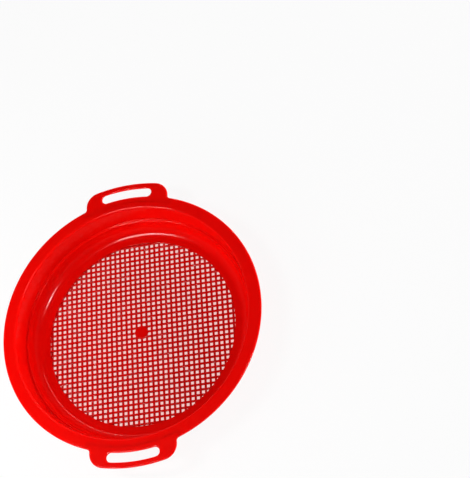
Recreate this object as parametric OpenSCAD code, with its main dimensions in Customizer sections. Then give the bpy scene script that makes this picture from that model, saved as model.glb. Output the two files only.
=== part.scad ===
// Round sand sieve: a shallow moulded pan with a mesh floor, a wide flat rim and two loop handles.
// The pan stands on its floor at z = 0, round the Z axis, and the handles lie along Y.
// The profile is built outwards and upwards from the mesh, so a changed size carries the rest along.

/* [Mesh] */
// Diameter of the mesh inside its solid border
mesh_d = 166.8; // [80:0.2:240]
// Distance from one rib to the next
hole_pitch = 4.54; // [3:0.01:9]
// Width of a rib at its foot, where the two layers cross
rib_w = 1.8; // [0.8:0.1:2.5]
// Width of a rib at its drafted outer face
rib_face_w = 1.4; // [0.5:0.1:2.5]
// Diameter of the solid pad in the middle
pad_d = 11.8; // [8:0.1:20]

/* [Pan] */
// Thickness of the floor and of the walls
wall_t = 2.2; // [1.2:0.1:4]
// Width of the flat border round the mesh
border_w = 4.5; // [1:0.1:12]
// Inner radius of the curve from the floor into the wall
foot_r = 10.5; // [4:0.5:20]
// Height of the straight wall between the foot curve and the underside of the ledge
lower_wall_h = 0.7; // [0.2:0.1:12]
// Width of the stacking ledge
ledge_w = 2.2; // [1:0.1:5]
// Rounding of the ledge's inner edge
ledge_edge_r = 0.8; // [0.2:0.1:1.2]
// Height of the wall between the ledge and the underside of the rim
upper_wall_h = 16.3; // [6:0.1:60]
// Slope of the walls from upright, in degrees
wall_draft = 6; // [1:0.5:15]

/* [Rim] */
// Width of the flat rim, from the mouth to its edge
flange_w = 11.2; // [5:0.1:25]
// Thickness of the rim and of the handles
rim_t = 2.2; // [1.2:0.1:4]
// Rounding of the shoulder where the rim turns down into the pan
shoulder_r = 1.9; // [0.5:0.1:2.2]

/* [Handles] */
// Length of the finger slot
slot_len = 45; // [30:0.5:90]
// Width of the finger slot, measured out from the rim's edge
slot_w = 7.9; // [5:0.1:20]
// Width of the bar outside the slot
bar_w = 5; // [3:0.1:12]
// Width of the handle on each side of the slot
leg_w = 14.7; // [6:0.1:30]
// Rounding of the inner corner where a handle leaves the rim
root_r = 3; // [0.5:0.1:8]

/* [Look] */
// Colour of the plastic
colour = "red"; // [red, blue, yellow, green]

/* [Hidden] */
$fn = 180;

// How far a cutting shape runs past what it cuts
overrun = 1;

tints = [
    ["red", [0.88, 0.05, 0.03]],
    ["blue", [0.04, 0.25, 0.85]],
    ["yellow", [0.97, 0.82, 0.04]],
    ["green", [0.22, 0.84, 0.13]]
];
plastic = tints[search([colour], tints)[0]][1];

// The lower ribs take this share of the floor's thickness, and the upper ribs take the rest
lower_layer_share = 0.5;
long_rib_h = wall_t * lower_layer_share;
cross_rib_h = wall_t - long_rib_h;

mesh_r = mesh_d / 2;
rib_count = floor((mesh_r - rib_w / 2) / hole_pitch);

// The inner face of the pan, from the border up to the mouth
draft_slope = tan(wall_draft);
wall_run = wall_t / cos(wall_draft);
foot_start_r = mesh_r + border_w;
foot_centre_z = wall_t + foot_r;
foot_end_r = foot_start_r + foot_r * cos(wall_draft);
foot_end_z = foot_centre_z - foot_r * sin(wall_draft);
ledge_under_z = foot_end_z + lower_wall_h;
ledge_z = ledge_under_z + wall_t;
ledge_inner_r = lower_wall_r(ledge_z);
ledge_outer_r = ledge_inner_r + ledge_w;
rim_under_z = ledge_z + upper_wall_h;
pan_h = rim_under_z + rim_t;
mouth_r = upper_wall_r(pan_h);
rim_r = mouth_r + flange_w;

// The handle loop: its outer corners are rounded by its full reach, about centres on the rim's edge
handle_reach = slot_w + bar_w;
handle_w = slot_len + 2 * leg_w;
corner_angle = asin((handle_w / 2 - handle_reach) / rim_r);
slot_mid_r = rim_r + slot_w / 2;
slot_end_angle = asin((slot_len - slot_w) / 2 / slot_mid_r);

// The root rounding touches the rim's edge and the rounded corner beside it
root_centre_r = rim_r + root_r;
root_span = handle_reach + root_r;
root_angle = corner_angle + acos((rim_r^2 + root_centre_r^2 - root_span^2) / (2 * rim_r * root_centre_r));

// A handle's root takes this share of the rim's width, and a strip of the edge beside its rounding
root_depth_share = 0.45;
root_strip = 1;
root_inner_r = rim_r - flange_w * root_depth_share;
root_side_angle = root_angle + asin(root_strip / rim_r);

// Inner radius of the lower wall, and of the upper wall, at a height
function lower_wall_r(z) = foot_end_r + (z - foot_end_z) * draft_slope;
function upper_wall_r(z) = ledge_outer_r + (z - ledge_z) * draft_slope;

// A point at a radius, turned from the +Y direction towards +X
function polar(r, a) = [r * sin(a), r * cos(a)];

// Straight drafted ribs along Y, one to each pitch, wide at z = 0 and narrow at z = h
module rib_row(h) {
    rib_len = 2 * (mesh_r + overrun);
    for (k = [-rib_count : rib_count])
        translate([k * hole_pitch, rib_len / 2, 0])
            rotate([90, 0, 0])
                linear_extrude(height = rib_len)
                    polygon([[-rib_w / 2, 0], [rib_w / 2, 0], [rib_face_w / 2, h], [-rib_face_w / 2, h]]);
}

// Trims a layer of ribs to the round mesh and leaves the middle to the pad
module mesh_trim() {
    difference() {
        intersection() {
            children();
            cylinder(r = mesh_r, h = wall_t);
        }
        translate([0, 0, -overrun])
            cylinder(d = pad_d, h = wall_t + 2 * overrun);
    }
}

// What a rounding takes off the profile where a flat top at [r, z] turns down into a drafted inner wall
module edge_waste(r, z, round_r) {
    wall_z = z - round_r * (1 - sin(wall_draft));
    wall_r = r - (z - wall_z) * draft_slope;
    centre = [wall_r + round_r * cos(wall_draft), z - round_r];
    difference() {
        polygon([[wall_r, wall_z], [r, z], [centre.x, z], centre]);
        translate(centre)
            circle(r = round_r);
    }
}

// Pie slice on both sides of the +Y direction, reaching past the handles
module slice(half_angle) {
    far_r = 2 * (rim_r + handle_reach);
    polygon([[0, 0], polar(far_r, half_angle), polar(far_r, -half_angle)]);
}

// Ring between two radii, cut down to a pie slice
module ring_slice(inner_r, outer_r, half_angle) {
    intersection() {
        difference() {
            circle(r = outer_r);
            circle(r = inner_r);
        }
        slice(half_angle);
    }
}

// Rounded outer corner of a handle, with the hollow rounding of its root
module handle_corner() {
    corner = polar(rim_r, corner_angle);
    root = polar(root_centre_r, root_angle);
    difference() {
        union() {
            polygon([[0, 0], root, corner]);
            translate(corner)
                circle(r = handle_reach);
        }
        translate(root)
            circle(r = root_r);
    }
}

// Finger slot that follows the rim's edge, with round ends
module finger_slot() {
    ring_slice(rim_r, rim_r + slot_w, slot_end_angle);
    for (side = [-1, 1])
        translate(polar(slot_mid_r, side * slot_end_angle))
            circle(d = slot_w);
}

// Outline of the handle on the +Y side, with its root in the rim
module handle_outline() {
    intersection() {
        difference() {
            union() {
                circle(r = rim_r);
                ring_slice(root_inner_r, rim_r + handle_reach, corner_angle);
                for (side = [0, 1])
                    mirror([side, 0])
                        handle_corner();
            }
            circle(r = root_inner_r);
            finger_slot();
        }
        slice(root_side_angle);
    }
}

// Drafted ribs along the handles, narrow side down
module mesh_long_ribs() {
    color(plastic)
        mesh_trim()
            translate([0, 0, long_rib_h])
                mirror([0, 0, 1])
                    rib_row(long_rib_h);
}

// Drafted ribs across them, narrow side up
module mesh_cross_ribs() {
    color(plastic)
        mesh_trim()
            translate([0, 0, long_rib_h])
                rotate([0, 0, 90])
                    rib_row(cross_rib_h);
}

module gate_pad() {
    color(plastic)
        cylinder(d = pad_d, h = wall_t);
}

module mesh_border() {
    color(plastic)
        difference() {
            cylinder(r = foot_start_r, h = wall_t);
            translate([0, 0, -overrun])
                cylinder(r = mesh_r, h = wall_t + 2 * overrun);
        }
}

// Foot curve of one wall thickness, then the straight wall, drawn upright about the foot's centre,
// leaned over by the draft and cut off level under the ledge
module lower_wall() {
    reach = foot_r + wall_t;
    straight_len = (lower_wall_h + wall_t) / cos(wall_draft);
    color(plastic)
        rotate_extrude()
            intersection() {
                translate([foot_start_r, foot_centre_z])
                    rotate(-wall_draft) {
                        difference() {
                            circle(r = reach);
                            circle(r = foot_r);
                            translate([-reach - overrun, 0])
                                square([2 * (reach + overrun), reach + overrun]);
                        }
                        translate([foot_r, 0])
                            square([wall_t, straight_len]);
                    }
                translate([foot_start_r, 0])
                    square([2 * reach, ledge_under_z]);
            }
}

// Step from the lower wall out to the upper one
module stack_ledge() {
    color(plastic)
        rotate_extrude()
            difference() {
                polygon([
                    [lower_wall_r(ledge_under_z), ledge_under_z],
                    [upper_wall_r(ledge_under_z) + wall_run, ledge_under_z],
                    [ledge_outer_r + wall_run, ledge_z],
                    [ledge_inner_r, ledge_z]
                ]);
                edge_waste(ledge_inner_r, ledge_z, min(ledge_edge_r, wall_t, ledge_w));
            }
}

module upper_wall() {
    color(plastic)
        rotate_extrude()
            polygon([
                [ledge_outer_r, ledge_z],
                [ledge_outer_r + wall_run, ledge_z],
                [upper_wall_r(rim_under_z) + wall_run, rim_under_z],
                [upper_wall_r(rim_under_z), rim_under_z]
            ]);
}

// Flat rim with its mouth rounded over, and a notch for the root of each handle
module rim_flange() {
    color(plastic)
        difference() {
            rotate_extrude()
                difference() {
                    polygon([
                        [upper_wall_r(rim_under_z), rim_under_z],
                        [rim_r, rim_under_z],
                        [rim_r, pan_h],
                        [mouth_r, pan_h]
                    ]);
                    edge_waste(mouth_r, pan_h, min(shoulder_r, rim_t));
                }
            for (side = [0, 1])
                mirror([0, side, 0])
                    translate([0, 0, rim_under_z - overrun])
                        linear_extrude(height = rim_t + 2 * overrun)
                            ring_slice(root_inner_r, rim_r + overrun, root_side_angle);
        }
}

module handle_rear() {
    color(plastic)
        translate([0, 0, rim_under_z])
            linear_extrude(height = rim_t)
                handle_outline();
}

module handle_front() {
    mirror([0, 1, 0])
        handle_rear();
}

mesh_long_ribs();
mesh_cross_ribs();
gate_pad();
mesh_border();
lower_wall();
stack_ledge();
upper_wall();
rim_flange();
handle_front();
handle_rear();
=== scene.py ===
# %% [markdown]
# # A red sand sieve for a studio picture
# A sand sieve is a shallow pan whose floor is a mesh. The whole toy is one moulding in one plastic, so
# there is nothing to screw together, and its beauty lies in clean curves and an even gloss. The packed
# CAD model gives every size. This lesson builds smoother pieces round it: a turned pan, two loop handles,
# two layers of ribs and a pad.

# %% The frame
import math

import bmesh
import bpy
from mathutils import Matrix, Quaternion, Vector


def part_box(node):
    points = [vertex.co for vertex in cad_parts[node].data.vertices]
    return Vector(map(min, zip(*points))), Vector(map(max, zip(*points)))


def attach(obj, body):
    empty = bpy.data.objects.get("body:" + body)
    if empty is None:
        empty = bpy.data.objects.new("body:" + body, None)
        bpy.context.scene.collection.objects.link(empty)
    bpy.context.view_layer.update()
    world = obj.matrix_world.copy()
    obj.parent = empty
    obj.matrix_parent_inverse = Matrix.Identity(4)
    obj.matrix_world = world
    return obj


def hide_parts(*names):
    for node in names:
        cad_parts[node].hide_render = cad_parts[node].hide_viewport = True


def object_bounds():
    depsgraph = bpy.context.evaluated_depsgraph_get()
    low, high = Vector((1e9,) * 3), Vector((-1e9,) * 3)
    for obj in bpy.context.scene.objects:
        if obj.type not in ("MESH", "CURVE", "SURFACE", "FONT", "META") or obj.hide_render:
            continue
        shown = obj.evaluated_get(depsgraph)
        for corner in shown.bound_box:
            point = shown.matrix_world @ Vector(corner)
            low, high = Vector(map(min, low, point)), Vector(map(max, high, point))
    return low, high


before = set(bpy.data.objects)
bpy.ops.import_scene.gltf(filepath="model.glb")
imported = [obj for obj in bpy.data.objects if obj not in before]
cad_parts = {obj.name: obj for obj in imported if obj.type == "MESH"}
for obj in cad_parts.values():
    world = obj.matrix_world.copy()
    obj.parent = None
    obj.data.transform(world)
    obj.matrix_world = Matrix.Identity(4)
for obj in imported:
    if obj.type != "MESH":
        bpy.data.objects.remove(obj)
cad_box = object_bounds()
cad_sides = [round(side, 4) for side in cad_box[1] - cad_box[0]]
print("frame:", len(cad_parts), "nodes, box", cad_sides, "m")

# %% [markdown]
# ## Sizes
# A turned piece is known by a few radii and heights. They could be typed in again, but then a change in
# the CAD model would leave this script behind. So they are measured on the nodes: a radius is a point's
# distance from the Z axis.

# %% Radii and heights of the pan
MM = 0.001
HAIR = 0.01 * MM


def radii(node, low=-1.0, high=1.0):
    """Smallest and largest distance from the axis, over a node's points between two heights."""
    spots = [v.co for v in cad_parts[node].data.vertices]
    found = [math.hypot(p.x, p.y) for p in spots if low <= p.z <= high]
    return min(found), max(found)


def ring_at(node, height):
    """Inner and outer radius of a ring-shaped node at one of its ends."""
    return radii(node, height - HAIR, height + HAIR)


floor_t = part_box("mesh_border")[1].z
mesh_r, border_r = radii("mesh_border")
ledge_under, ledge_top = (corner.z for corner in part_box("stack_ledge"))
rim_under, rim_top = (corner.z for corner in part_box("rim_flange"))
rim_t = rim_top - rim_under
rim_r = radii("rim_flange")[1]
lower_in, lower_out = ring_at("lower_wall", ledge_under)
upper_in, upper_out = ring_at("upper_wall", ledge_top)
neck_in, neck_out = ring_at("upper_wall", rim_under)
print("pan: mesh %.2f, rim %.2f, height %.2f mm" % (mesh_r / MM, rim_r / MM, rim_top / MM))

# %% [markdown]
# The walls lean outwards by a few degrees of draft, so that the moulding leaves its tool. The two ends of
# the upper wall give that slope, and the foot curve is the arc that touches both the flat floor and the
# leaning lower wall.

# %% Draft, mouth and foot curve
slope = (neck_in - upper_in) / (rim_under - ledge_top)
draft = math.atan(slope)
mouth_r = neck_in + slope * rim_t
ledge_in = lower_in + slope * (ledge_top - ledge_under)
shelf_out = upper_out - slope * (ledge_top - ledge_under)
foot_run = (lower_in - border_r) * math.cos(draft)
foot_drop = (ledge_under - floor_t) * math.sin(draft)
foot_r = (foot_run - foot_drop) / (1 - math.sin(draft))
foot_z = floor_t + foot_r
print("draft", round(math.degrees(draft), 2), "degrees, foot curve", round(foot_r / MM, 2), "mm")

# %% [markdown]
# ## A pen for outlines
# Profiles and outlines are made of straight strokes and arcs. A list of points would hide that, so a
# small pen draws them: a stroke extrudes its last vertex, and a bend spins that vertex about a centre.
# Corners are drawn sharp and rounded afterwards, by bevelling their vertex.


# %% The pen
class Pen:
    """Draws edges in one plane, from its last vertex, with bends about an axis."""

    def __init__(self, bm, start, axis):
        self.bm, self.axis = bm, axis
        self.tip = self.first = bm.verts.new(start)

    def line(self, point):
        self.tip = bmesh.ops.extrude_vert_indiv(self.bm, verts=[self.tip])["verts"][0]
        self.tip.co = point
        return self.tip

    def bend(self, centre, turn, steps):
        spun = bmesh.ops.spin(self.bm, geom=[self.tip], cent=centre, axis=self.axis, angle=turn,
                              steps=steps)
        self.tip = spun["geom_last"][0]
        return self.tip

    def close(self):
        self.bm.edges.new((self.tip, self.first))


def round_corner(bm, vert, radius, steps):
    """Rounds the corner of two edges by an arc of about this radius."""
    arms = [(edge.other_vert(vert).co - vert.co).normalized() for edge in vert.link_edges]
    cut = radius / math.tan(arms[0].angle(arms[1]) / 2)
    bmesh.ops.bevel(bm, geom=[vert], offset=cut, offset_type="OFFSET", segments=steps, profile=0.5,
                    affect="VERTICES", material=-1)


# %% [markdown]
# ## The pan
# On the real toy the border, foot curve, stacking ledge, wall and rim are one skin about two millimetres
# thick. It could be made of five rings, but a seam would then show in the gloss at every joint. So the
# whole wall is drawn once as a closed profile, inside and outside, and turned on a lathe.

# %% Profile of the pan
FOOT_STEPS = 28
edge_r = 1.0 * MM
edge_steps = 6
shoulder_r, shoulder_steps = 1.9 * MM, 9
ledge_edge_r, ledge_edge_steps = 0.8 * MM, 5
fillet_r, fillet_steps = 0.35 * MM, 4
mesh_edge_r, mesh_edge_steps = 0.3 * MM, 3
root_r = radii("handle_rear")[0]
print("profile: edges rounded by %.2f mm, shoulder by %.2f mm" % (edge_r / MM, shoulder_r / MM))


def draw_profile(bm):
    """Draws the wall's closed profile in the XZ plane, from the mesh up the inside and down the outside."""
    pen = Pen(bm, (mesh_r, 0, 0), (0, -1, 0))
    foot_centre = (border_r, 0, foot_z)
    quarter = math.pi / 2 - draft
    outer_r = foot_r + floor_t
    mesh_edge = pen.line((mesh_r, 0, floor_t))
    pen.line((border_r, 0, floor_t))
    pen.bend(foot_centre, quarter, FOOT_STEPS)
    ledge_edge = pen.line((ledge_in, 0, ledge_top))
    ledge_corner = pen.line((upper_in, 0, ledge_top))
    shoulder = pen.line((mouth_r, 0, rim_top))
    pen.line((root_r, 0, rim_top))
    rim_edges = [pen.line((rim_r, 0, rim_top)), pen.line((rim_r, 0, rim_under))]
    pen.line((root_r, 0, rim_under))
    neck = pen.line((neck_out, 0, rim_under))
    shelf = pen.line((shelf_out, 0, ledge_under))
    under_ledge = pen.line((lower_out, 0, ledge_under))
    pen.line((border_r + outer_r * math.cos(draft), 0, foot_z - outer_r * math.sin(draft)))
    pen.bend(foot_centre, -quarter, FOOT_STEPS)
    pen.close()
    round_corner(bm, mesh_edge, mesh_edge_r, mesh_edge_steps)
    round_corner(bm, ledge_edge, ledge_edge_r, ledge_edge_steps)
    round_corner(bm, shoulder, shoulder_r, shoulder_steps)
    for vert in rim_edges + [shelf]:
        round_corner(bm, vert, edge_r, edge_steps)
    for vert in (ledge_corner, neck, under_ledge):
        round_corner(bm, vert, fillet_r, fillet_steps)


# %% [markdown]
# The rim carries the two handles, and their flat faces run into its own. One full turn of the lathe would
# leave the rim's rounded edge showing under each handle. So the turn is made in four sweeps. The two long
# ones, at the sides, carry the whole profile. The two short ones stop at the handles' roots and leave a
# notch for each.

# %% Sweeps of the lathe
SIDE_STEPS = 120
ROOT_STEPS = 18
WELD = 0.002 * MM
root_side = math.asin(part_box("handle_rear")[1].x / rim_r)


def sweep(bm, geom, angle, steps):
    """Spins edges about the Z axis and gives back the last copy of them."""
    spun = bmesh.ops.spin(bm, geom=geom, cent=(0, 0, 0), axis=(0, 0, 1), angle=angle, steps=steps)
    return spun["geom_last"]


def behind_root(geom):
    """The edges of a profile that lie inside the handles' roots."""
    edges = [item for item in geom if isinstance(item, bmesh.types.BMEdge)]
    return [e for e in edges if all(math.hypot(v.co.x, v.co.y) < root_r + HAIR for v in e.verts)]


def root_edge(bm, edges):
    """Joins the open ends of a profile that was cut off at the handles' roots."""
    ends = [v for e in edges for v in e.verts if abs(math.hypot(v.co.x, v.co.y) - root_r) < HAIR]
    return bm.edges.new(ends)


def sweep_half(bm, profile):
    """Sweeps a profile round one side and behind the next handle. Returns the profile between the two."""
    turned = sweep(bm, profile, math.pi - 2 * root_side, SIDE_STEPS)
    inner = behind_root(turned)
    inner.append(root_edge(bm, inner))
    inner_verts = list({v for e in inner for v in e.verts})
    sweep(bm, inner_verts + inner, 2 * root_side, 2 * ROOT_STEPS)
    return turned


def copy_past_root(bm, profile):
    """Copies a whole profile to the other side of the handle that follows it."""
    copy = bmesh.ops.duplicate(bm, geom=[item for item in profile if item.is_valid])["geom"]
    verts = [item for item in copy if isinstance(item, bmesh.types.BMVert)]
    bmesh.ops.rotate(bm, cent=(0, 0, 0), matrix=Matrix.Rotation(2 * root_side, 3, "Z"), verts=verts)
    return copy


print("handle roots: radius %.2f mm, %.1f degrees each way" % (root_r / MM, math.degrees(root_side)))

# %% Turning the pan
pan_mesh = bmesh.new()
draw_profile(pan_mesh)
start_turn = Matrix.Rotation(root_side - math.pi / 2, 3, "Z")
bmesh.ops.rotate(pan_mesh, cent=(0, 0, 0), matrix=start_turn, verts=pan_mesh.verts[:])
right_end = sweep_half(pan_mesh, pan_mesh.verts[:] + pan_mesh.edges[:])
sweep_half(pan_mesh, copy_past_root(pan_mesh, right_end))
bmesh.ops.remove_doubles(pan_mesh, verts=pan_mesh.verts[:], dist=WELD)
bmesh.ops.holes_fill(pan_mesh, edges=[e for e in pan_mesh.edges if e.is_boundary], sides=0)
bmesh.ops.recalc_face_normals(pan_mesh, faces=pan_mesh.faces[:])
print("pan:", len(pan_mesh.faces), "faces,", sum(not e.is_manifold for e in pan_mesh.edges), "open edges")

# %% [markdown]
# ## Finishing a piece
# Every piece ends the same way: its mesh becomes an object at the origin, smooth except at real corners,
# it takes the place of its CAD nodes and rides on their body. A Weighted Normal modifier keeps the wide
# flats flat and leaves all the bending of the light to the narrow roundings beside them.

# %% From mesh to piece
CREASE = math.radians(40)
plastic = bpy.data.materials.new("red_plastic")


def finish_piece(name, bm, *nodes):
    """Makes a mesh into a smooth object that takes the place of its CAD nodes."""
    mesh = bpy.data.meshes.new(name)
    bm.to_mesh(mesh)
    bm.free()
    mesh.shade_smooth()
    mesh.set_sharp_from_angle(angle=CREASE)
    mesh.materials.append(plastic)
    piece = bpy.data.objects.new(name, mesh)
    bpy.context.scene.collection.objects.link(piece)
    flats = piece.modifiers.new("keep flats flat", "WEIGHTED_NORMAL")
    flats.keep_sharp = True
    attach(piece, "root")
    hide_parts(*nodes)
    print(name, "stands for", ", ".join(nodes))


finish_piece("moulded_pan", pan_mesh,
             "mesh_border", "lower_wall", "stack_ledge", "upper_wall", "rim_flange")

# %% [markdown]
# ## The loop handles
# Each handle is a flat loop in the plane of the rim: a finger slot that follows the rim's edge, a bar
# outside it, wide legs with round corners, and a small hollow rounding where the legs leave the rim. Half
# of the outline is drawn with the pen and mirrored. The face is then pushed down by the rim's thickness,
# and its free edges are rounded like the rim's, but not the root, which has to meet the notch in the pan.

# %% Sizes of a handle
slot_len = 45 * MM
leg_w = 14.7 * MM
crook_r = 3 * MM


def polar(r, angle, z=0.0):
    """A point at a radius, turned from the +Y direction towards +X."""
    return Vector((r * math.sin(angle), r * math.cos(angle), z))


def turn_between(start, end):
    """Signed angle about Z from one direction to another."""
    return math.atan2(start.x * end.y - start.y * end.x, start.x * end.x + start.y * end.y)


near_middle, past_rim = 6 * MM, 1 * MM
handle_out = radii("handle_rear")[1]
spots = [v.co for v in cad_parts["handle_rear"].data.vertices]
bar_radii = [math.hypot(p.x, p.y) for p in spots if abs(p.x) < near_middle]
slot_out = min(r for r in bar_radii if r > rim_r + past_rim)
reach = handle_out - rim_r
slot_mid = (rim_r + slot_out) / 2
slot_end = math.asin((slot_len - slot_out + rim_r) / 2 / slot_mid)
corner_turn = math.asin((slot_len / 2 + leg_w - reach) / rim_r)
crook_mid = rim_r + crook_r
crook_turn = corner_turn + math.acos(
    (rim_r**2 + crook_mid**2 - (reach + crook_r) ** 2) / (2 * rim_r * crook_mid))
print("handle: reach", round(reach / MM, 2), "slot", round((slot_out - rim_r) / MM, 2), "mm wide")

# %% Outline of half a handle
corner_steps, crook_steps, slot_end_steps, bar_steps, rim_steps = 20, 9, 24, 14, 2
print("outline: leg corners in", corner_steps, "steps, slot ends in", slot_end_steps)


def draw_half_handle(bm):
    """Draws the right half of the rear handle as one flat face, on the top of the rim."""
    pen = Pen(bm, polar(root_r, 0, rim_top), (0, 0, 1))
    axis = Vector((0, 0, rim_top))
    corner = polar(rim_r, corner_turn, rim_top)
    crook = polar(crook_mid, crook_turn, rim_top)
    pen.bend(axis, -root_side, ROOT_STEPS)
    pen.line(polar(rim_r, root_side, rim_top))
    pen.bend(axis, root_side - crook_turn, rim_steps)
    pen.bend(crook, turn_between(axis - crook, corner - crook), crook_steps)
    pen.bend(corner, turn_between(crook - corner, corner - axis), corner_steps)
    pen.bend(axis, corner_turn, bar_steps)
    pen.line(polar(slot_out, 0, rim_top))
    pen.bend(axis, -slot_end, bar_steps)
    pen.bend(polar(slot_mid, slot_end, rim_top), -math.pi, slot_end_steps)
    pen.bend(axis, slot_end, bar_steps)
    pen.close()
    bmesh.ops.contextual_create(bm, geom=bm.edges[:])


# %% [markdown]
# The free edges are picked by where they lie: on the top or bottom face, beyond the root and between its
# two sides.

# %% The two handles
root_clear = 10 * HAIR


def free_edge(edge):
    """True for a level outer edge of the handle that doesn't touch its root."""
    middle = (edge.verts[0].co + edge.verts[1].co) / 2
    level = abs(edge.verts[0].co.z - edge.verts[1].co.z) < HAIR
    turn = abs(math.atan2(middle.x, abs(middle.y)))
    outside = math.hypot(middle.x, middle.y) > root_r + root_clear and turn < root_side - HAIR
    return level and outside and edge.calc_face_angle(0.0) > CREASE


def build_handle(name, node, half_turns):
    """Mirrors the half outline, gives it thickness and round edges, and turns it to its side of the pan."""
    bm = bmesh.new()
    draw_half_handle(bm)
    bmesh.ops.mirror(bm, geom=bm.verts[:] + bm.edges[:] + bm.faces[:], axis="X", merge_dist=WELD)
    grown = bmesh.ops.extrude_face_region(bm, geom=bm.faces[:])["geom"]
    bmesh.ops.translate(bm, verts=[item for item in grown if isinstance(item, bmesh.types.BMVert)],
                        vec=(0, 0, -rim_t))
    bmesh.ops.recalc_face_normals(bm, faces=bm.faces[:])
    bmesh.ops.bevel(bm, geom=[e for e in bm.edges if free_edge(e)], offset=edge_r, offset_type="OFFSET",
                    segments=edge_steps, profile=0.5, affect="EDGES", material=-1)
    facing = Matrix.Rotation(half_turns * math.pi, 3, "Z")
    bmesh.ops.rotate(bm, cent=(0, 0, 0), matrix=facing, verts=bm.verts[:])
    print(name, len(bm.faces), "faces,", sum(not e.is_manifold for e in bm.edges), "open edges")
    finish_piece(name, bm, node)


build_handle("rear_loop_handle", "handle_rear", half_turns=0)
build_handle("front_loop_handle", "handle_front", half_turns=1)

# %% [markdown]
# ## The mesh
# The floor of the pan is two layers of straight ribs that cross, the lower ones along the handles and the
# upper ones across them. Each rib is narrower at its outer face, because it is pulled out of a tool. One
# rib is a cube that is stretched, tapered and rounded, and a row is the same rib at every pitch, as long
# as the round mesh allows. The ends run a little way into the border, where they can't be seen. The
# picture shows the ribs a little fuller than the solids have them, by an eighth of a millimetre on each
# side, and they are drawn so here.

# %% One rib
RIBS_EACH_SIDE = 18
solid_rib_w, solid_face_w = 1.8 * MM, 1.4 * MM
fuller = 0.25 * MM
rib_w, rib_face_w = solid_rib_w + fuller, solid_face_w + fuller
rib_round = 0.35 * MM
rib_round_steps = 3
end_grip = 0.3 * MM
sunk = 0.05 * MM
hole_pitch = (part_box("mesh_long_ribs")[1].x - solid_rib_w / 2) / RIBS_EACH_SIDE
print("rib:", round(rib_w / MM, 2), "mm wide, and", round(rib_face_w / MM, 2), "mm at its face")


def add_rib(bm, across, foot_z, face_z):
    """Adds a drafted rib along Y, at a distance from the Y axis, with its rounded narrow face at face_z."""
    nearest = max(0.0, abs(across) - rib_w / 2)
    half_len = math.sqrt((mesh_r + end_grip) ** 2 - nearest**2)
    verts = bmesh.ops.create_cube(bm, size=1)["verts"]
    bmesh.ops.scale(bm, vec=(rib_w, 2 * half_len, face_z - foot_z), verts=verts)
    bmesh.ops.translate(bm, vec=(0, 0, (foot_z + face_z) / 2), verts=verts)
    face_verts = [v for v in verts if abs(v.co.z - face_z) < HAIR]
    bmesh.ops.scale(bm, vec=(rib_face_w / rib_w, 1, 1), verts=face_verts)
    bmesh.ops.translate(bm, vec=(across, 0, 0), verts=verts)
    long_edges = [e for e in bm.edges if all(v in face_verts for v in e.verts)
                  and abs(e.verts[0].co.y - e.verts[1].co.y) > half_len]
    bmesh.ops.bevel(bm, geom=long_edges, offset=rib_round, offset_type="OFFSET", segments=rib_round_steps,
                    profile=0.5, affect="EDGES", material=-1)


# %% [markdown]
# The two layers overlap by a hair where they cross, so that no two faces lie in the same place, and both
# stay a hair inside the border's own faces for the same reason.


# %% Two layers of ribs
def build_rib_layer(name, node, foot_z, face_z, quarter_turns):
    """Lays a rib at every pitch and turns the row to its direction."""
    bm = bmesh.new()
    for step in range(-RIBS_EACH_SIDE, RIBS_EACH_SIDE + 1):
        add_rib(bm, step * hole_pitch, foot_z, face_z)
    facing = Matrix.Rotation(quarter_turns * math.pi / 2, 3, "Z")
    bmesh.ops.rotate(bm, cent=(0, 0, 0), matrix=facing, verts=bm.verts[:])
    bmesh.ops.recalc_face_normals(bm, faces=bm.faces[:])
    print(name, 2 * RIBS_EACH_SIDE + 1, "ribs at", round(hole_pitch / MM, 3), "mm,", len(bm.faces), "faces")
    finish_piece(name, bm, node)


crossing_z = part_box("mesh_cross_ribs")[0].z
build_rib_layer("long_rib_layer", "mesh_long_ribs", crossing_z + sunk, sunk, quarter_turns=0)
build_rib_layer("cross_rib_layer", "mesh_cross_ribs", crossing_z - sunk, floor_t - sunk, quarter_turns=1)

# %% [markdown]
# ## The pad in the middle
# A round pad covers four holes in the middle of the mesh. It is most likely the place where the plastic
# entered the mould. It is a disc with softened edges, made from a filled circle that is extruded and
# bevelled.

# %% The pad
PAD_SIDES = 64
pad_edge_r, pad_edge_steps = 0.45 * MM, 4
pad_r = radii("gate_pad")[1]
pad_mesh = bmesh.new()
bmesh.ops.create_circle(pad_mesh, cap_ends=True, segments=PAD_SIDES, radius=pad_r)
pushed = bmesh.ops.extrude_face_region(pad_mesh, geom=pad_mesh.faces[:])["geom"]
bmesh.ops.translate(pad_mesh, verts=[item for item in pushed if isinstance(item, bmesh.types.BMVert)],
                    vec=(0, 0, floor_t))
bmesh.ops.recalc_face_normals(pad_mesh, faces=pad_mesh.faces[:])
pad_rims = [e for e in pad_mesh.edges if e.calc_face_angle(0.0) > CREASE]
bmesh.ops.bevel(pad_mesh, geom=pad_rims, offset=pad_edge_r, offset_type="OFFSET", segments=pad_edge_steps,
                profile=0.5, affect="EDGES", material=-1)
finish_piece("centre_pad", pad_mesh, "gate_pad")

# %% [markdown]
# ## Shader sums in plain Python
# A finish is easier to read as a sum than as a picture of wires. Each wire of the shader is wrapped in a
# small class: adding, multiplying or comparing wires adds the Math node that does it, and every other
# node comes from one method.


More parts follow.
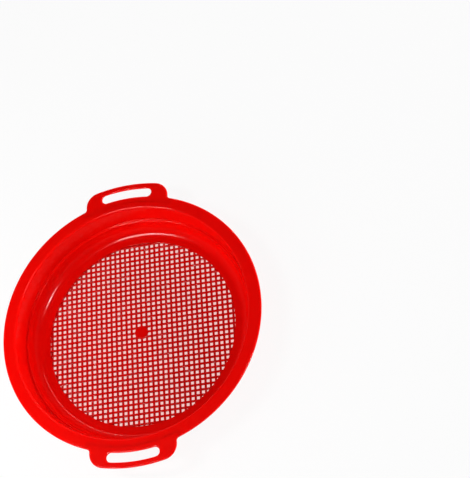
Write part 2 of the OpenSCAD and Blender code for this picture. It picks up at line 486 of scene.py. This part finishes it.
# %% Wires
class Wire:
    """One output in a shader tree, which can be added, subtracted, multiplied and compared."""

    def __init__(self, tree, socket):
        self.tree, self.socket = tree, socket

    def math(self, operation, first, second):
        return self.tree.node("ShaderNodeMath", {"operation": operation}, {0: first, 1: second})

    def __add__(self, other):
        return self.math("ADD", self, other)

    def __radd__(self, other):
        return self.math("ADD", other, self)

    def __sub__(self, other):
        return self.math("SUBTRACT", self, other)

    def __rsub__(self, other):
        return self.math("SUBTRACT", other, self)

    def __mul__(self, other):
        return self.math("MULTIPLY", self, other)

    def __rmul__(self, other):
        return self.math("MULTIPLY", other, self)

    def __gt__(self, other):
        return self.math("GREATER_THAN", self, other)

    def __lt__(self, other):
        return self.math("LESS_THAN", self, other)


# %% Trees
class Tree:
    """A shader tree that starts empty."""

    def __init__(self, owner):
        owner.use_nodes = True
        self.nodes, self.links = owner.node_tree.nodes, owner.node_tree.links
        self.nodes.clear()

    def node(self, kind, settings=None, inputs=None, output=0):
        made = self.nodes.new(kind)
        for name, value in (settings or {}).items():
            if name == "stops":
                self.set_stops(made.color_ramp, value)
            else:
                setattr(made, name, value)
        for name, value in (inputs or {}).items():
            if isinstance(value, Wire):
                self.links.new(value.socket, made.inputs[name])
            else:
                made.inputs[name].default_value = value
        return Wire(self, made.outputs[output]) if made.outputs else None

    def set_stops(self, ramp, stops):
        while len(ramp.elements) < len(stops):
            ramp.elements.new(1.0)
        for element, (place, colour) in zip(ramp.elements, stops):
            element.position, element.color = place, (*colour, 1.0)

    def noise(self, place, scale, detail=2.0):
        """Cloudy noise from 0 to 1, with this many lumps to a metre."""
        return self.node("ShaderNodeTexNoise", None, {"Vector": place, "Scale": scale, "Detail": detail})

    def blend(self, share, first, second):
        """One colour at 0 and another at 1, by inputs 6 and 7 and output 2 of a Mix node."""
        low, high = ((*colour, 1.0) if isinstance(colour, tuple) else colour for colour in (first, second))
        return self.node("ShaderNodeMix", {"data_type": "RGBA"}, {0: share, 6: low, 7: high}, output=2)


# %% [markdown]
# ## Red plastic
# The plastic is a glossy polypropylene, coloured all through. Up close it isn't one flat red: the colour
# drifts a little over a hand's breadth, the melt leaves faint streaks that run outwards from the pad in
# the middle, and the skin has the fine ripple of a polished tool, so that highlights have a soft, lively
# edge. All of that could be painted, but noise in the toy's own coordinates stays on it from every side.
# The mesh ribs round the pad are painted a deeper red, a painted shade for the shade that lies on them low
# in the pan. Some light also passes through the plastic. The walls and the rim, which stand clear of the
# paper, glow a little, and the floor of the pan, which lies on the paper, stays darker.

# %% The plastic's colour
BRIGHT_RED = (0.82, 0.0026, 0.0012)
DEEP_RED = (0.75, 0.0020, 0.0010)
# Painted shade: the deeper red that the mesh ribs get for the shade low in the pan.
MESH_SHADE_RED = (0.66, 0.0016, 0.0010)
drift_scale, streak_scale = 14.0, 30.0
streak_detail = 3.0
drift_share = 0.75
mottle_low, mottle_high = 0.3, 0.7
pad_clear = 1.1 * pad_r
tree = Tree(plastic)
place = tree.node("ShaderNodeTexCoord", output="Object")
axes = tree.node("ShaderNodeSeparateXYZ", None, {0: place}).socket.node.outputs
level = tree.node("ShaderNodeCombineXYZ", None, {0: Wire(tree, axes["X"]), 1: Wire(tree, axes["Y"])})
heading = tree.node("ShaderNodeVectorMath", {"operation": "NORMALIZE"}, {0: level})
away = tree.node("ShaderNodeVectorMath", {"operation": "LENGTH"}, {0: level}, output="Value")
drift = tree.noise(place, drift_scale)
streaks = tree.noise(heading, streak_scale, streak_detail)
patches = drift * drift_share + streaks * (1 - drift_share)
mottle = tree.node("ShaderNodeMapRange", None, {0: patches, 1: mottle_low, 2: mottle_high})
# Painted shade: the mesh ribs round the pad are painted a deeper red, for the shade that lies on them.
mesh_shade_mask = (away > pad_clear) * (away < mesh_r)
colour = tree.blend(mesh_shade_mask, tree.blend(mottle, DEEP_RED, BRIGHT_RED), MESH_SHADE_RED)
print("colour:", len(tree.nodes), "nodes")

# %% Its gloss and skin
REACH_OF_LIGHT = (1.0, 0.12, 0.08)
light_depth = 2.5 * MM
polish, dulling, scuffing = 0.09, 0.03, 0.04
scuff_scale, scuff_detail = 120.0, 6.0
ripple_scale, ripple_share = 75.0, 0.25
peel_scale, peel_share = 520.0, 0.3
skin_detail = 1.0
skin_depth = 0.02 * MM
scuffs = tree.noise(place, scuff_scale, scuff_detail)
gloss = polish + drift * dulling + scuffs * scuffing
ripple = tree.noise(place, ripple_scale, skin_detail)
peel = tree.noise(place, peel_scale, skin_detail)
relief = ripple * ripple_share + peel * peel_share
skin = tree.node("ShaderNodeBump", None, {"Strength": 1.0, "Distance": skin_depth, "Height": relief})
shader = tree.node("ShaderNodeBsdfPrincipled", None, {
    "Base Color": colour, "Roughness": gloss, "Normal": skin, "IOR": 1.49, "Specular IOR Level": 0.3,
    "Subsurface Weight": 1.0, "Subsurface Radius": REACH_OF_LIGHT, "Subsurface Scale": light_depth})
tree.node("ShaderNodeOutputMaterial", None, {"Surface": shader})
print("plastic:", len(tree.nodes), "nodes")

# %% [markdown]
# ## Floor and studio
# The sieve lies on a sheet of white paper that fills the view. A sheet lit like the toy would turn grey
# in the shade of the mesh, so most of its white is its own glow, seen by the camera and in reflections
# only. The rest is a plain matt surface that takes the toy's soft shadow. Light gets under the mesh only
# between red ribs, so there the glow is painted a pink shade, and the pan's border hides where that ends.

# %% The floor
floor_half = 12.0
floor_gap = 0.2 * MM
floor_mesh = bmesh.new()
bmesh.ops.create_grid(floor_mesh, x_segments=1, y_segments=1, size=floor_half)
bmesh.ops.translate(floor_mesh, verts=floor_mesh.verts[:], vec=(0, 0, -floor_gap))
sheet = bpy.data.meshes.new("studio_floor")
floor_mesh.to_mesh(sheet)
floor_mesh.free()
floor = bpy.data.objects.new("studio_floor", sheet)
bpy.context.scene.collection.objects.link(floor)
print("floor:", 2 * floor_half, "m square")

# %% The paper
PAPER_WHITE, PAPER_PINK_SHADE = (1.0, 1.0, 1.0), (1.0, 0.62, 0.60)
MATT_WHITE = (0.95, 0.95, 0.95, 1.0)
glow_share = 0.9
paper = bpy.data.materials.new("white_paper")
sheet.materials.append(paper)
tree = Tree(paper)
path = tree.node("ShaderNodeLightPath").socket.node.outputs
in_view, in_gloss, in_glass = (
    Wire(tree, path["Is %s Ray" % kind]) for kind in ("Camera", "Glossy", "Transmission"))
seen = in_view + in_gloss + in_glass
place = tree.node("ShaderNodeTexCoord", output="Object")
away = tree.node("ShaderNodeVectorMath", {"operation": "LENGTH"}, {0: place}, output="Value")
outside = tree.node("ShaderNodeMapRange", None, {0: away, 1: mesh_r, 2: border_r})
# Painted shade: under the mesh the paper's glow is painted pink, for the shade and red light there.
paper_colour = tree.blend(1 - outside, PAPER_WHITE, PAPER_PINK_SHADE)
glow = tree.node("ShaderNodeEmission", None, {"Color": paper_colour, "Strength": 1.0})
matt = tree.node("ShaderNodeBsdfDiffuse", None, {"Color": MATT_WHITE})
mixed = tree.node("ShaderNodeMixShader", None, {0: seen * glow_share, 1: matt, 2: glow})
tree.node("ShaderNodeOutputMaterial", None, {"Surface": mixed})
print("paper:", len(tree.nodes), "nodes")

# %% [markdown]
# Every bright line on the toy is the mirror image of a lamp. A broad strip high on the left makes the arc
# on the far foot curve, a narrow one on the right makes the short dash on the left foot curve, and a long
# one behind makes the fine line round the near left. Each is turned until its line lies right. A small
# key lamp and two windows light the rim and the walls. Their mirror images would only veil the red, so
# they are kept out of the gloss, as a photographer does with a polarising filter. The strips on the right
# and behind would light the rim from the wrong side, so they are kept to the gloss.


# %% Lamps
def soft_box(name, bearing, height, distance, wide, tall, brightness, roll=0, mirrored=True, lighting=True):
    """A lamp that faces the toy, at a bearing from +X and a height above the floor, in degrees.

    Mirrored and lighting say whether the gloss shows it and whether the colour is lit by it.
    """
    lamp = bpy.data.lights.new(name, "AREA")
    lamp.shape, lamp.size, lamp.size_y = "RECTANGLE", wide, tall
    lamp.energy = brightness * math.pi * wide * tall
    stand = bpy.data.objects.new(name, lamp)
    turned, raised = math.radians(bearing), math.radians(height)
    out = math.cos(raised)
    stand.location = distance * Vector((math.cos(turned) * out, math.sin(turned) * out, math.sin(raised)))
    turn = stand.location.to_track_quat("Z", "Y") @ Quaternion((0, 0, 1), math.radians(roll))
    stand.rotation_euler = turn.to_euler()
    stand.visible_camera, stand.visible_glossy, stand.visible_diffuse = False, mirrored, lighting
    bpy.context.scene.collection.objects.link(stand)
    print(name, "at", [round(x, 2) for x in stand.location], round(lamp.energy, 2), "W")


soft_box("left_strip", 198, 70, distance=0.8, wide=0.14, tall=0.26, brightness=18.5, roll=-34)
soft_box("right_strip", -8, 57, distance=1.0, wide=0.18, tall=0.022, brightness=165.0, roll=-23,
         lighting=False)
soft_box("rear_strip", 93, 47, distance=0.95, wide=0.62, tall=0.02, brightness=17.0, roll=-31,
         lighting=False)
soft_box("key_lamp", 205, 40, distance=0.3, wide=0.2, tall=0.2, brightness=2.3, mirrored=False)
soft_box("front_window", 255, 18, distance=1.0, wide=0.8, tall=0.4, brightness=4.6, mirrored=False)
soft_box("right_window", 28, 10, distance=2.0, wide=1.6, tall=0.7, brightness=13.0, mirrored=False)

# %% [markdown]
# The room adds a weak even light, paler towards the horizon, as pale walls under a dark ceiling do. A
# glossy toy would mirror those walls as a grey veil, so in reflections the room is darker still.

# %% The room
ROOM_BANDS = ((0.0, 0.50), (0.45, 0.36), (0.75, 0.03))
room_dimmed = 0.75
room = bpy.data.worlds.new("studio")
bpy.context.scene.world = room
tree = Tree(room)
look = tree.node("ShaderNodeTexCoord", output="Generated")
height = tree.node("ShaderNodeSeparateXYZ", None, {0: look}, output="Z")
bands = [(sine, (grey, grey, grey)) for sine, grey in ROOM_BANDS]
walls = tree.node("ShaderNodeValToRGB", {"stops": bands}, {0: height})
light = tree.node("ShaderNodeBackground", None, {"Color": walls, "Strength": 1.0})
dark = tree.node("ShaderNodeBackground", None, {"Color": (0, 0, 0, 1), "Strength": 0.0})
in_gloss = tree.node("ShaderNodeLightPath", output="Is Glossy Ray")
mixed = tree.node("ShaderNodeMixShader", None, {0: in_gloss * room_dimmed, 1: light, 2: dark})
tree.node("ShaderNodeOutputWorld", None, {"Surface": mixed})
print("room:", len(bands), "bands of grey")

# %% [markdown]
# ## The camera
# The picture looks down into the pan from the front right, with a long lens, and is tilted a little, so
# that the handles run up and slightly to the left. The three axes of the camera say all of that at once.

# %% The camera
IMAGE_H = 478
SENSOR_W = 36
focal_px = 1395
eye_place = Vector((0.35389, -0.44627, 1.05481))
right, up = Vector((0.9612, -0.0548, -0.2704)), Vector((0.1645, 0.9007, 0.4021))
eye = bpy.data.cameras.new("camera")
eye.sensor_width = SENSOR_W
eye.lens = focal_px / IMAGE_H * SENSOR_W
camera = bpy.data.objects.new("camera", eye)
turn = Matrix((right, up, right.cross(up))).transposed().to_4x4()
camera.matrix_world = Matrix.Translation(eye_place) @ turn
bpy.context.scene.collection.objects.link(camera)
bpy.context.scene.camera = camera
bpy.context.scene.view_settings.view_transform = "Standard"
print("camera: lens", round(eye.lens, 1), "mm")
